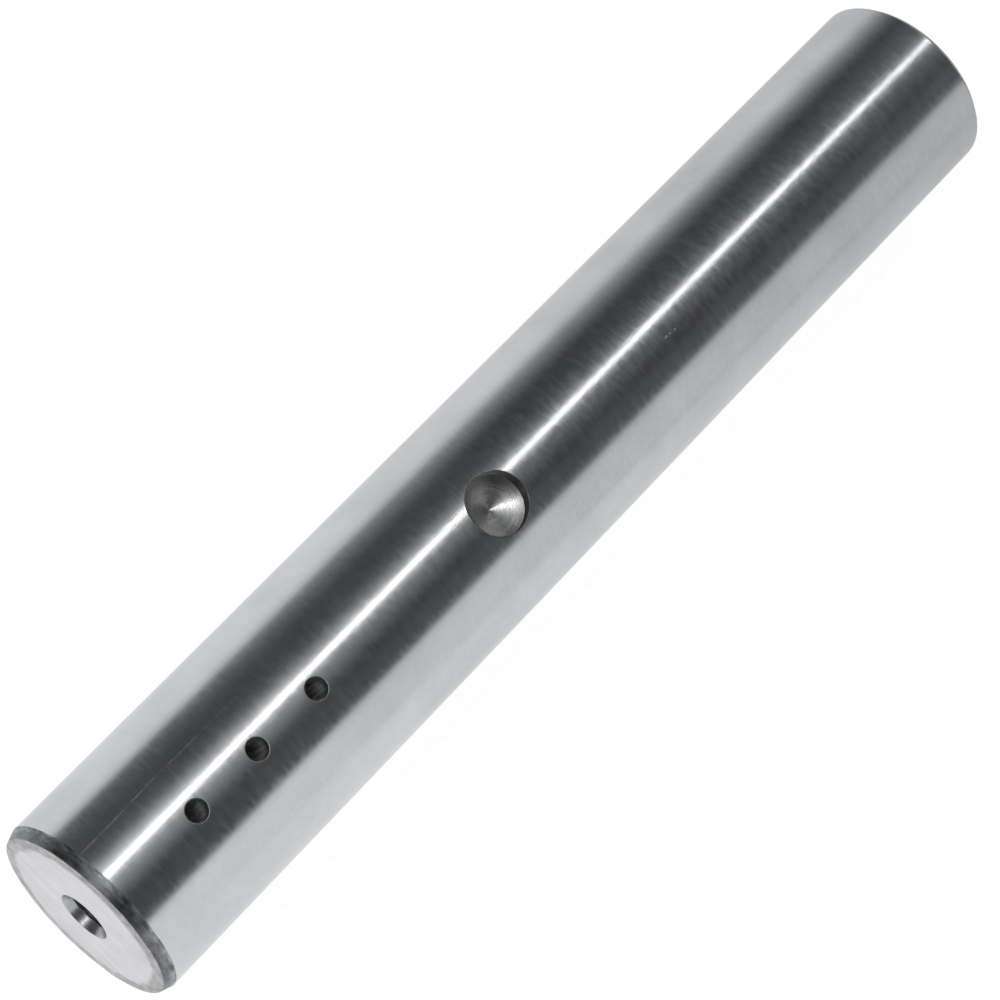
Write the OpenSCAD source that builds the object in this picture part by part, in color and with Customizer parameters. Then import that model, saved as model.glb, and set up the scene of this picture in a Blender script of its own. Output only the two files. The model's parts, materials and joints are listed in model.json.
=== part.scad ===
// Steering kingpin of a counterbalance forklift: one ground steel pin that lies along X.
// The grease port is in the end at -X, and every radial hole opens upwards, along +Z.
// The origin is on the pin's axis, half way along it.

/* [Pin] */
// Ground outside diameter
pin_d = 30; // [24:0.5:50]
// Length over both end faces
pin_l = 186; // [150:1:320]

/* [Port end] */
// Length of the slim lead-in bevel along the pin
lead_l = 1.8; // [0.5:0.1:6]
// Depth of the lead-in bevel, square to the pin
lead_h = 0.65; // [0.2:0.05:2]
// Width of the eased ring between the bevel and the flat end face
ring_w = 1.5; // [0.5:0.1:3]
// How far the eased ring falls back from the flat end face
ring_drop = 0.1; // [0.05:0.05:0.4]

/* [Plain end] */
// Both legs of the 45 degree bevel on the plain end
plain_bevel = 1; // [0.3:0.1:3]

/* [Grease port] */
// Diameter at the mouth of the countersink
port_mouth_d = 8.2; // [7.6:0.1:10]
// Full angle of the countersink
port_sink_angle = 45; // [30:1:120]
// Wall diameter of the bore for an M8x1 grease nipple
port_d = 7; // [6:0.1:7.4]
// Depth of the port's full bore below the end face
port_depth = 11; // [8:0.5:13]
// Diameter of the grease gallery behind the port
gallery_d = 5; // [3.8:0.1:5.8]
// How far the gallery runs past the last grease hole
gallery_past = 3; // [2:0.5:8]

/* [Grease holes] */
// Diameter of each grease hole
hole_d = 3.3; // [2:0.1:3.6]
// Number of grease holes in the row
hole_count = 3; // [1:1:4]
// Distance of the first grease hole from the port's end face
hole_first = 17; // [15:0.5:24]
// Distance from one grease hole to the next
hole_pitch = 12; // [8:0.5:15]
// Width of the broken edge round each grease hole
hole_edge = 0.25; // [0.1:0.05:0.5]

/* [Lock seat] */
// Diameter of the seat for the lock bolt
seat_d = 9.5; // [6:0.1:14]
// Distance of the seat from the port's end face
seat_at = 79.5; // [74:0.5:110]
// Depth of the seat's wall below the crown of the pin
seat_depth = 2.3; // [2:0.1:5]
// Full angle of the seat's coned floor
seat_angle = 140; // [118:1:170]

/* [Hidden] */
$fn = 96;
drill_angle = 118;
over = 1;
pin_r = pin_d / 2;
port_face_x = -pin_l / 2;
face_r = pin_r - lead_h;
gallery_end = hole_first + (hole_count - 1) * hole_pitch + gallery_past;

// Height of a cone of radius r with the full angle given
function cone_h(r, angle) = r / tan(angle / 2);

// Places children at a station along the pin, measured from the port's end face
module at_station(s) {
    translate([port_face_x + s, 0, 0]) children();
}

// Turns a shape drawn along +Z so that it runs along +X from the port's end face
module along_pin() {
    at_station(0) rotate([0, 90, 0]) children();
}

// A drilled bore from z = 0 upwards, with the drill's cone on its end
module drilled_bore(d, depth, angle) {
    cylinder(d = d, h = depth);
    translate([0, 0, depth]) cylinder(d1 = d, d2 = 0, h = cone_h(d / 2, angle));
}

// The turned and ground blank, from half of its section
module turned_blank() {
    along_pin() rotate_extrude() polygon([
        [0, 0],
        [face_r - ring_w, 0],
        [face_r, ring_drop],
        [pin_r, ring_drop + lead_l],
        [pin_r, pin_l - plain_bevel],
        [pin_r - plain_bevel, pin_l],
        [0, pin_l],
    ]);
}

// The countersunk port for the grease nipple, and the gallery that it feeds
module grease_port() {
    sink_h = cone_h(port_mouth_d / 2, port_sink_angle);
    along_pin() {
        cylinder(d1 = port_mouth_d, d2 = 0, h = sink_h);
        translate([0, 0, -over]) cylinder(d = port_d, h = over);
        drilled_bore(port_d, port_depth, drill_angle);
        drilled_bore(gallery_d, gallery_end, drill_angle);
    }
}

// One grease hole, from the pin's axis up through its crown, with a broken edge
module grease_hole() {
    edge_r = hole_d / 2 + hole_edge;
    cylinder(d = hole_d, h = pin_r + over);
    translate([0, 0, pin_r - edge_r]) cylinder(r1 = 0, r2 = edge_r + over, h = edge_r + over);
}

// The row of grease holes that the gallery feeds
module grease_holes() {
    for (i = [0 : hole_count - 1]) at_station(hole_first + i * hole_pitch) grease_hole();
}

// The blind seat that takes the tip of the lock bolt
module lock_seat() {
    at_station(seat_at) translate([0, 0, pin_r + over]) rotate([180, 0, 0])
        drilled_bore(seat_d, seat_depth + over, seat_angle);
}

// The whole pin, one piece of steel
module kingpin() {
    color([0.62, 0.63, 0.64]) difference() {
        turned_blank();
        grease_port();
        grease_holes();
        lock_seat();
    }
}

kingpin();
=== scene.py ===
"""Looks of a forklift kingpin: one finely meshed steel pin, its finishes, a plain studio and a camera."""

import json
import logging
import math
from collections.abc import Callable
from dataclasses import dataclass, field
from enum import Enum, IntEnum
from typing import Any

import bpy
from mathutils import Matrix, Quaternion, Vector


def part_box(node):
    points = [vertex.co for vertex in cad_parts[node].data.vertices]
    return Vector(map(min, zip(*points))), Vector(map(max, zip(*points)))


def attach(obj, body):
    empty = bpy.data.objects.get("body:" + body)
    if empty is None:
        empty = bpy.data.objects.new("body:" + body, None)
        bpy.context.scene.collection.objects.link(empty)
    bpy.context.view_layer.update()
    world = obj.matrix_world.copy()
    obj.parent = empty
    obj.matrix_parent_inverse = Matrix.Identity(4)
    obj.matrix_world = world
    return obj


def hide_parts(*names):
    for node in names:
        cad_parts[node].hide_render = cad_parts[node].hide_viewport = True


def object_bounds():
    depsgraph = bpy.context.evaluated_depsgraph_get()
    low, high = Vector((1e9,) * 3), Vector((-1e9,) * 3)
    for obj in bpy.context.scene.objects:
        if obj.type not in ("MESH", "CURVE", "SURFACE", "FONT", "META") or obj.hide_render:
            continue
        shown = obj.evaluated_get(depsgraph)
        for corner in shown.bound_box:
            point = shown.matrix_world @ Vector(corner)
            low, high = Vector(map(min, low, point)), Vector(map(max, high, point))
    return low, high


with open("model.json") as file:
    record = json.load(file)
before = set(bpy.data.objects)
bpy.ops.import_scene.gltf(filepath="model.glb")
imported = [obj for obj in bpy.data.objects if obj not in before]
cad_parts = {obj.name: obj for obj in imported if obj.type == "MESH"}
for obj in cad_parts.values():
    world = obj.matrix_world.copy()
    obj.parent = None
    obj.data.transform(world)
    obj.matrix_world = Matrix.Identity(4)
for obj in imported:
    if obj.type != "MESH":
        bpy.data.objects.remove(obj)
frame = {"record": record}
CAD_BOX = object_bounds()

LOG = logging.getLogger("kingpin")
MM = 0.001
QUARTER_TURN = 0.25
NODE_NAME = "kingpin"
BODY_NAME = "root"

Loop = list[int]
Triple = tuple[float, float, float]
Colour = tuple[float, float, float, float]
Socket = bpy.types.NodeSocket
Amount = bpy.types.NodeSocket | float


class Zone(IntEnum):
    """The finish zones of the pin, in the order of its material slots."""

    SHANK = 0
    BEVEL = 1
    PORT_FACE = 2
    PLAIN_FACE = 3
    SINK = 4
    PORT = 5
    BORE = 6
    SEAT = 7
    SEAT_WALL = 8
    EDGE = 9


class Lay(Enum):
    """The way that tool marks run on a finish."""

    ROUND_THE_PIN = "round the pin"
    ROUND_THE_SEAT = "round the seat"
    ACROSS_THE_FACE = "across the face"


def mount(name: str) -> dict:
    """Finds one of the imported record's mounts by its name."""
    return next(item for item in frame["record"]["mounts"] if item["name"] == name)


def link(name: str, data: bpy.types.ID) -> bpy.types.Object:
    """Makes an object and links it to the scene.

    Args:
        name: The object's name.
        data: Its mesh, light or camera.

    Returns:
        The object.
    """
    made = bpy.data.objects.new(name, data)
    bpy.context.scene.collection.objects.link(made)
    return made


def held(value: float) -> float:
    """Holds a number between 0 and 1."""
    return min(1.0, max(0.0, value))


def grey(tone: float) -> Colour:
    """Gives the grey of a tone."""
    return (tone, tone, tone, 1.0)


@dataclass(frozen=True)
class SectionPoint:
    """A point of a turned section: station, radius, the two parts of its normal, and its finish."""

    s: float
    r: float
    normal_s: float
    normal_r: float
    zone: Zone
    wear: float = 0.0


@dataclass(frozen=True)
class Corner:
    """A corner of a turned section, with its rounding and the finish of the span that leads to it."""

    s: float
    r: float
    round_r: float = 0.0
    zone: Zone = Zone.SHANK
    step: float = 1.0
    wear: float = 0.0


class Skin:
    """The points, normals and faces of one closed mesh, sewn together loop by loop, in millimetres."""

    def __init__(self) -> None:
        """Starts with nothing sewn."""
        self.places: list[Vector] = []
        self.normals: list[Vector] = []
        self.faces: list[tuple[int, ...]] = []
        self.zones: list[Zone] = []

    def point(self, place: Vector, normal: Vector) -> int:
        """Adds a point.

        Args:
            place: Where the point is.
            normal: The surface's direction there, of any length.

        Returns:
            The point's number.
        """
        self.places.append(place)
        self.normals.append(normal.normalized())
        return len(self.places) - 1

    def face(self, corners: tuple[int, ...], zone: Zone) -> None:
        """Adds a face with its finish."""
        self.faces.append(corners)
        self.zones.append(zone)

    def bridge(self, first: Loop, second: Loop, zone: Zone) -> None:
        """Joins two closed loops by a band of four-sided faces.

        Args:
            first: The loop that the band starts from.
            second: The loop that the band runs to, with as many points.
            zone: The band's finish.
        """
        count = len(first)
        for j in range(count):
            k = (j + 1) % count
            self.face((first[j], second[j], second[k], first[k]), zone)

    def cap(self, loop: Loop, place: Vector, normal: Vector, zone: Zone, closing: bool) -> None:
        """Closes a loop with a fan about a middle point.

        Args:
            loop: The loop to close.
            place: The middle point.
            normal: The surface's direction at the middle point.
            zone: The fan's finish.
            closing: True where the sewing ends here, and False where it starts.
        """
        middle = self.point(place, normal)
        count = len(loop)
        for j in range(count):
            k = (j + 1) % count
            pair = (loop[k], loop[j]) if closing else (loop[j], loop[k])
            self.face((middle, *pair), zone)

    def make_object(self, name: str) -> bpy.types.Object:
        """Turns the sewn skin into a Blender object.

        Args:
            name: The object's name.

        Returns:
            The new object, in metres, linked to the scene.
        """
        mesh = bpy.data.meshes.new(name)
        mesh.from_pydata([place * MM for place in self.places], [], self.faces)
        mesh.polygons.foreach_set("material_index", [int(zone) for zone in self.zones])
        mesh.polygons.foreach_set("use_smooth", [True] * len(self.faces))
        mesh.normals_split_custom_set_from_vertices([tuple(normal) for normal in self.normals])
        mesh.update()
        return link(name, mesh)


@dataclass(frozen=True)
class Axis:
    """The pin's axis: it turns a station, a radius and an angle into a place.

    A worn edge strays in waves, each with its count round one turn, its start and its size.
    """

    port_x: float
    waves: tuple[Triple, ...] = ((3, 0.4, 0.30), (7, 2.1, 0.30), (13, 5.0, 0.22), (19, 1.3, 0.18))

    def place(self, s: float, r: float, angle: float) -> Vector:
        """Gives the place at a station, a radius and an angle from the crown."""
        return Vector((self.port_x + s, r * math.sin(angle), r * math.cos(angle)))

    def direction(self, along: float, out: float, angle: float) -> Vector:
        """Gives a direction from its parts along the pin and out from its axis."""
        return Vector((along, out * math.sin(angle), out * math.cos(angle)))

    def wander(self, angle: float) -> float:
        """Gives how a worn edge strays along the pin, from about -1 to 1, round one turn."""
        return sum(size * math.sin(count * angle + start) for count, start, size in self.waves)

    def revolve(self, skin: Skin, section: list[SectionPoint], turn: list[float],
                start: Loop | None = None) -> Loop:
        """Turns a section about the axis.

        Args:
            skin: The skin to sew to.
            section: The section's points, in the order of the sewing.
            turn: The angles of each loop's points.
            start: A loop that the first point joins on to.

        Returns:
            The last loop.
        """
        last = start
        for spot in section:
            loop = [
                skin.point(self.place(spot.s + spot.wear * self.wander(angle), spot.r, angle),
                           self.direction(spot.normal_s, spot.normal_r, angle))
                for angle in turn
            ]
            if last is not None:
                skin.bridge(last, loop, spot.zone)
            last = loop
        return last


@dataclass(frozen=True)
class TurnedSection:
    """A section drawn as corners, rounded and cut into short spans for sewing."""

    corners: list[Corner]
    arc_cells: int = 5

    def points(self) -> list[SectionPoint]:
        """Rounds the corners and cuts the straight spans.

        Returns:
            The section's points in order, with true normals.
        """
        found: list[SectionPoint] = []
        pen = self.corners[0]
        pen_s, pen_r = pen.s, pen.r
        for i in range(1, len(self.corners)):
            corner = self.corners[i]
            into = self._heading(i - 1)
            normal = Vector((-into.y, into.x))
            arc = self._arc(i)
            end_s, end_r = (arc[0].s, arc[0].r) if arc else (corner.s, corner.r)
            length = math.hypot(end_s - pen_s, end_r - pen_r)
            cells = max(1, math.ceil(length / corner.step))
            for k in range(0 if i == 1 else 1, cells + 1):
                share = k / cells
                found.append(SectionPoint(pen_s + share * (end_s - pen_s), pen_r + share * (end_r - pen_r),
                                          normal.x, normal.y, corner.zone))
            found.extend(arc[1:])
            pen_s, pen_r = found[-1].s, found[-1].r
        return found

    def _heading(self, i: int) -> Vector:
        """Gives the direction from corner i to the next."""
        first, second = self.corners[i], self.corners[i + 1]
        return Vector((second.s - first.s, second.r - first.r)).normalized()

    def _arc(self, i: int) -> list[SectionPoint]:
        """Works out the rounding of a corner.

        Args:
            i: The corner's number.

        Returns:
            The arc's points, or none where the corner stays as drawn.
        """
        corner = self.corners[i]
        if corner.round_r == 0.0 or i == len(self.corners) - 1:
            return []
        into, out = self._heading(i - 1), self._heading(i)
        bend = math.atan2(into.x * out.y - into.y * out.x, into.dot(out))
        reach = corner.round_r * math.tan(abs(bend) / 2)
        normal = Vector((-into.y, into.x))
        side = 1.0 if bend > 0 else -1.0
        middle = Vector((corner.s, corner.r)) - into * reach + normal * corner.round_r * side
        arc = []
        for k in range(self.arc_cells + 1):
            angle = bend * k / self.arc_cells
            turned = Vector((normal.x * math.cos(angle) - normal.y * math.sin(angle),
                             normal.x * math.sin(angle) + normal.y * math.cos(angle)))
            spot = middle - turned * corner.round_r * side
            zone = self.corners[i + 1].zone if k > self.arc_cells / 2 else corner.zone
            arc.append(SectionPoint(spot.x, spot.y, turned.x, turned.y, zone, corner.wear))
        return arc


@dataclass(frozen=True)
class Rim:
    """The open rim of a hole in a drilled wall: its loop and the angle of each of its points."""

    loop: Loop
    turn: list[float]


@dataclass(frozen=True)
class WallHole:
    """A round hole through the crown of a drilled wall."""

    station: float
    rim_r: float


@dataclass(frozen=True)
class DrilledWall:
    """A straight round wall along the pin, with round holes through its crown.

    Each hole sits in a square patch of the crown, so that the mesh runs evenly up to its rim.
    The wall faces away from the axis where its stations rise, and towards it where they fall.
    """

    axis: Axis
    radius: float
    patch: float
    zone: Zone
    long_step: float = 3.0
    side_cells: int = 16
    around_cells: int = 120
    ring_step: float = 0.42
    ring_crowding: float = 1.2
    least_rings: int = 3
    least_gap: float = 0.01

    def angles(self) -> list[float]:
        """Gives the angles of a loop.

        Returns:
            Even cells over the crown's patch, then even cells round the rest.
        """
        edge = math.asin(self.patch / self.radius)
        crown = [math.asin(self.patch * (2 * j / self.side_cells - 1) / self.radius)
                 for j in range(self.side_cells + 1)]
        rest = self.around_cells - self.side_cells
        step = 2 * (math.pi - edge) / rest
        return crown + [edge + step * k for k in range(1, rest)]

    def rows(self, start: float, end: float, stations: list[float]) -> list[float]:
        """Gives the stations of the loops.

        Args:
            start: The first station.
            end: The last station, above or below the first.
            stations: The holes' stations, in the order of the sewing.

        Returns:
            Stations with short, even cells in each patch and long ones between patches.
        """
        way = 1.0 if end > start else -1.0
        found = [start]

        def run_to(mark: float, cells: int) -> None:
            """Adds even rows up to a mark."""
            low = found[-1]
            found.extend(low + (mark - low) * k / cells for k in range(1, cells + 1))

        for station in stations:
            gap = abs(station - way * self.patch - found[-1])
            if gap > self.least_gap:
                run_to(station - way * self.patch, max(1, round(gap / self.long_step)))
            run_to(station + way * self.patch, self.side_cells)
        run_to(end, max(1, round(abs(end - found[-1]) / self.long_step)))
        return found

    def build(self, skin: Skin, rows: list[float], holes: list[WallHole],
              start: Loop | None = None) -> tuple[Loop, Loop, list[Rim]]:
        """Sews the wall.

        Args:
            skin: The skin to sew to.
            rows: The stations of the loops.
            holes: The holes, in the order of the rows.
            start: A loop to use as the first one.

        Returns:
            The first loop, the last loop, and each hole's rim.
        """
        turn = self.angles()
        way = 1.0 if rows[-1] > rows[0] else -1.0
        count = self.around_cells
        nodes: dict[tuple[int, int], int] = {}
        if start is not None:
            nodes.update({(0, j): start[j] for j in range(count)})

        def node(i: int, j: int) -> int:
            """Gives a point of the wall, and makes it on first use.

            Args:
                i: The point's row.
                j: The number of its angle.

            Returns:
                The point's number.
            """
            key = (i, j % count)
            if key not in nodes:
                angle = turn[key[1]]
                nodes[key] = skin.point(self.axis.place(rows[i], self.radius, angle),
                                        self.axis.direction(0.0, way, angle))
            return nodes[key]

        firsts = [min(range(len(rows)), key=lambda i: abs(rows[i] - hole.station + way * self.patch))
                  for hole in holes]
        covered = {(first + i, j) for first in firsts
                   for i in range(self.side_cells) for j in range(self.side_cells)}
        for i in range(len(rows) - 1):
            for j in range(count):
                if (i, j) not in covered:
                    corners = (node(i, j), node(i + 1, j), node(i + 1, j + 1), node(i, j + 1))
                    skin.face(corners, self.zone)
        rims = [self._patch(skin, node, first, hole, way) for first, hole in zip(firsts, holes)]
        first_loop = [node(0, j) for j in range(count)]
        last_loop = [node(len(rows) - 1, j) for j in range(count)]
        return first_loop, last_loop, rims

    def _patch(self, skin: Skin, node: Callable[[int, int], int], first: int, hole: WallHole,
               way: float) -> Rim:
        """Sews the rings of a patch, from its square border in to the hole's rim.

        Args:
            skin: The skin to sew to.
            node: Gives the point of a row and an angle of the wall.
            first: The row on which the patch starts.
            hole: The hole in the patch.
            way: 1 where the stations rise along the sewing, and -1 where they fall.

        Returns:
            The hole's rim.
        """
        cells = self.side_cells
        half = cells // 2
        border = [(cells, j) for j in range(half, cells)]
        border += [(i, cells) for i in range(cells, 0, -1)]
        border += [(0, j) for j in range(cells, 0, -1)]
        border += [(i, 0) for i in range(cells)]
        border += [(cells, j) for j in range(half)]
        spots = [(self.patch * (2 * i / cells - 1), self.patch * (2 * j / cells - 1)) for i, j in border]
        turn = [math.atan2(v, u) for u, v in spots]
        rings = max(self.least_rings, round((self.patch - hole.rim_r) / self.ring_step))
        outer = [node(first + i, j) for i, j in border]
        for k in range(rings - 1, -1, -1):
            share = (k / rings) ** self.ring_crowding
            inner = []
            for (u, v), angle in zip(spots, turn):
                along = hole.rim_r * math.cos(angle) * (1 - share) + u * share
                across = hole.rim_r * math.sin(angle) * (1 - share) + v * share
                inner.append(self.crown_point(skin, hole.station + way * along, across, way))
            skin.bridge(inner, outer, self.zone)
            outer = inner
        return Rim(outer, turn)

    def crown_point(self, skin: Skin, s: float, across: float, way: float) -> int:
        """Adds a point of the wall by its station and its distance aside of the crown's line."""
        angle = math.asin(across / self.radius)
        return skin.point(self.axis.place(s, self.radius, angle), self.axis.direction(0.0, way, angle))


@dataclass(frozen=True)
class DrilledHole:
    """A hole drilled square into the crown of the pin, with a rounded edge."""

    axis: Axis
    pin_r: float
    station: float
    radius: float
    edge: float
    wall_zone: Zone
    edge_zone: Zone
    edge_cells: int = 6

    def rim_r(self) -> float:
        """Gives the radius of the rim, where the rounded edge meets the pin."""
        return self.radius + self.edge

    def surface(self, across: float) -> float:
        """Gives the height of the pin's surface at a distance to the side of its crown."""
        return math.sqrt(self.pin_r ** 2 - across ** 2)

    def ring(self, skin: Skin, turn: list[float], radius: float, heights: list[float],
             lean: list[Vector]) -> Loop:
        """Adds a loop round the hole.

        Args:
            skin: The skin to sew to.
            turn: The angles of the loop's points.
            radius: The loop's radius.
            heights: The height of each point above the pin's axis.
            lean: The surface's direction at each point.

        Returns:
            The loop.
        """
        middle = self.axis.port_x + self.station
        return [
            skin.point(Vector((middle + radius * math.cos(t), radius * math.sin(t), height)), normal)
            for t, height, normal in zip(turn, heights, lean)
        ]

    def wall_normals(self, turn: list[float]) -> list[Vector]:
        """Gives the directions of the hole's wall, towards its own axis."""
        return [Vector((-math.cos(t), -math.sin(t), 0.0)) for t in turn]

    def sew_edge(self, skin: Skin, rim: Rim) -> tuple[Loop, list[float]]:
        """Rolls the pin's surface over into the hole's wall.

        Args:
            skin: The skin to sew to.
            rim: The rim that the pin's wall leaves open.

        Returns:
            The first loop of the hole's wall and its heights.
        """
        upper = rim.loop
        heights: list[float] = []
        walls = self.wall_normals(rim.turn)
        for k in range(1, self.edge_cells + 1):
            roll = math.pi / 2 * k / self.edge_cells
            radius = self.rim_r() - self.edge * math.sin(roll)
            drop = self.edge * (1 - math.cos(roll))
            sides = [radius * math.sin(t) for t in rim.turn]
            heights = [self.surface(side) - drop for side in sides]
            lean = [
                Vector((0.0, side, self.surface(side))).normalized() * math.cos(roll) + wall * math.sin(roll)
                for side, wall in zip(sides, walls)
            ]
            lower = self.ring(skin, rim.turn, radius, heights, lean)
            skin.bridge(lower, upper, self.edge_zone if k <= self.edge_cells / 2 else self.wall_zone)
            upper = lower
        return upper, heights


@dataclass(frozen=True)
class GreaseHole(DrilledHole):
    """A radial hole that lets grease out of the gallery."""

    wall_cells: int = 9

    def build(self, skin: Skin, rim: Rim, gallery_rim: Rim) -> None:
        """Sews the hole from the pin's surface down to the gallery.

        Args:
            skin: The skin to sew to.
            rim: The hole's rim in the pin's outside.
            gallery_rim: The hole's rim in the gallery's crown.
        """
        upper, heights = self.sew_edge(skin, rim)
        count = len(rim.turn)
        mouth = [gallery_rim.loop[(count // 2 - k) % count] for k in range(count)]
        floor = [skin.places[number].z for number in mouth]
        walls = self.wall_normals(rim.turn)
        for k in range(1, self.wall_cells):
            share = k / self.wall_cells
            levels = [high + share * (low - high) for high, low in zip(heights, floor)]
            lower = self.ring(skin, rim.turn, self.radius, levels, walls)
            skin.bridge(lower, upper, self.wall_zone)
            upper = lower
        skin.bridge(mouth, upper, self.wall_zone)


@dataclass(frozen=True)
class LockSeat(DrilledHole):
    """The blind seat for the lock bolt: a short wall, a rounded foot and a coned floor with tool rings."""

    depth: float = 2.3
    floor_angle: float = 140.0
    foot: float = 0.06
    wall_cells: int = 6
    ring_pitch: float = 0.32
    ring_height: float = 0.0016
    ring_mean: float = 0.65
    ring_swell: float = 0.35
    rings_per_swell: float = 4.7
    cells_per_ring: int = 5
    floor_zone: Zone = Zone.SEAT

    def build(self, skin: Skin, rim: Rim) -> None:
        """Sews the seat from the pin's surface down to the tip of its floor.

        Args:
            skin: The skin to sew to.
            rim: The seat's rim in the pin's outside.
        """
        upper, heights = self.sew_edge(skin, rim)
        slope = math.radians(90 - self.floor_angle / 2)
        corner = self.pin_r - self.depth
        reach = self.foot * math.tan((math.pi / 2 - slope) / 2)
        foot_top = corner + reach
        walls = self.wall_normals(rim.turn)
        for k in range(1, self.wall_cells + 1):
            share = k / self.wall_cells
            levels = [high + share * (foot_top - high) for high in heights]
            lower = self.ring(skin, rim.turn, self.radius, levels, walls)
            skin.bridge(lower, upper, self.wall_zone)
            upper = lower
        for k in range(1, self.edge_cells + 1):
            roll = (math.pi / 2 - slope) * k / self.edge_cells
            radius = self.radius - self.foot * (1 - math.cos(roll))
            level = foot_top - self.foot * math.sin(roll)
            upper = self._floor_loop(skin, upper, rim, radius, level, math.pi / 2 - roll, self.wall_zone)
        foot_r = self.radius - self.foot * (1 - math.sin(slope))
        foot_level = foot_top - self.foot * math.cos(slope)
        cells = round(foot_r / self.ring_pitch) * self.cells_per_ring
        for k in range(1, cells):
            radius = foot_r * (1 - k / cells)
            ripple, tilt = self._tool_ring(radius)
            level = foot_level - (foot_r - radius) * math.tan(slope) + ripple
            upper = self._floor_loop(skin, upper, rim, radius, level, slope + tilt, self.floor_zone)
        tip = Vector((self.axis.port_x + self.station, 0.0, foot_level - foot_r * math.tan(slope)))
        skin.cap(upper, tip, Vector((0, 0, 1)), self.floor_zone, closing=False)

    def _tool_ring(self, radius: float) -> tuple[float, float]:
        """Works out the tool rings' height and slope at a radius.

        Args:
            radius: Distance from the seat's axis.

        Returns:
            The height that the rings add, and the angle by which they tilt the floor.
        """
        wave = 2 * math.pi / self.ring_pitch
        beat = 2 * math.pi / (self.ring_pitch * self.rings_per_swell)
        swell = self.ring_mean + self.ring_swell * math.sin(beat * radius)
        height = self.ring_height * swell * math.sin(wave * radius)
        tilt = math.atan(self.ring_height * swell * wave * math.cos(wave * radius))
        return height, tilt

    def _floor_loop(self, skin: Skin, upper: Loop, rim: Rim, radius: float, level: float,
                    lean: float, zone: Zone) -> Loop:
        """Adds a level loop of the seat's floor and joins it to the one outside it.

        Args:
            skin: The skin to sew to.
            upper: The loop outside this one.
            rim: The seat's rim, which gives the points' angles.
            radius: The loop's radius.
            level: The loop's height above the pin's axis.
            lean: The angle between the surface's direction and the seat's axis.
            zone: The finish of the band between the two loops.

        Returns:
            The new loop.
        """
        normals = [Vector((-math.cos(t) * math.sin(lean), -math.sin(t) * math.sin(lean), math.cos(lean)))
                   for t in rim.turn]
        lower = self.ring(skin, rim.turn, radius, [level] * len(rim.turn), normals)
        skin.bridge(lower, upper, zone)
        return lower


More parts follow.
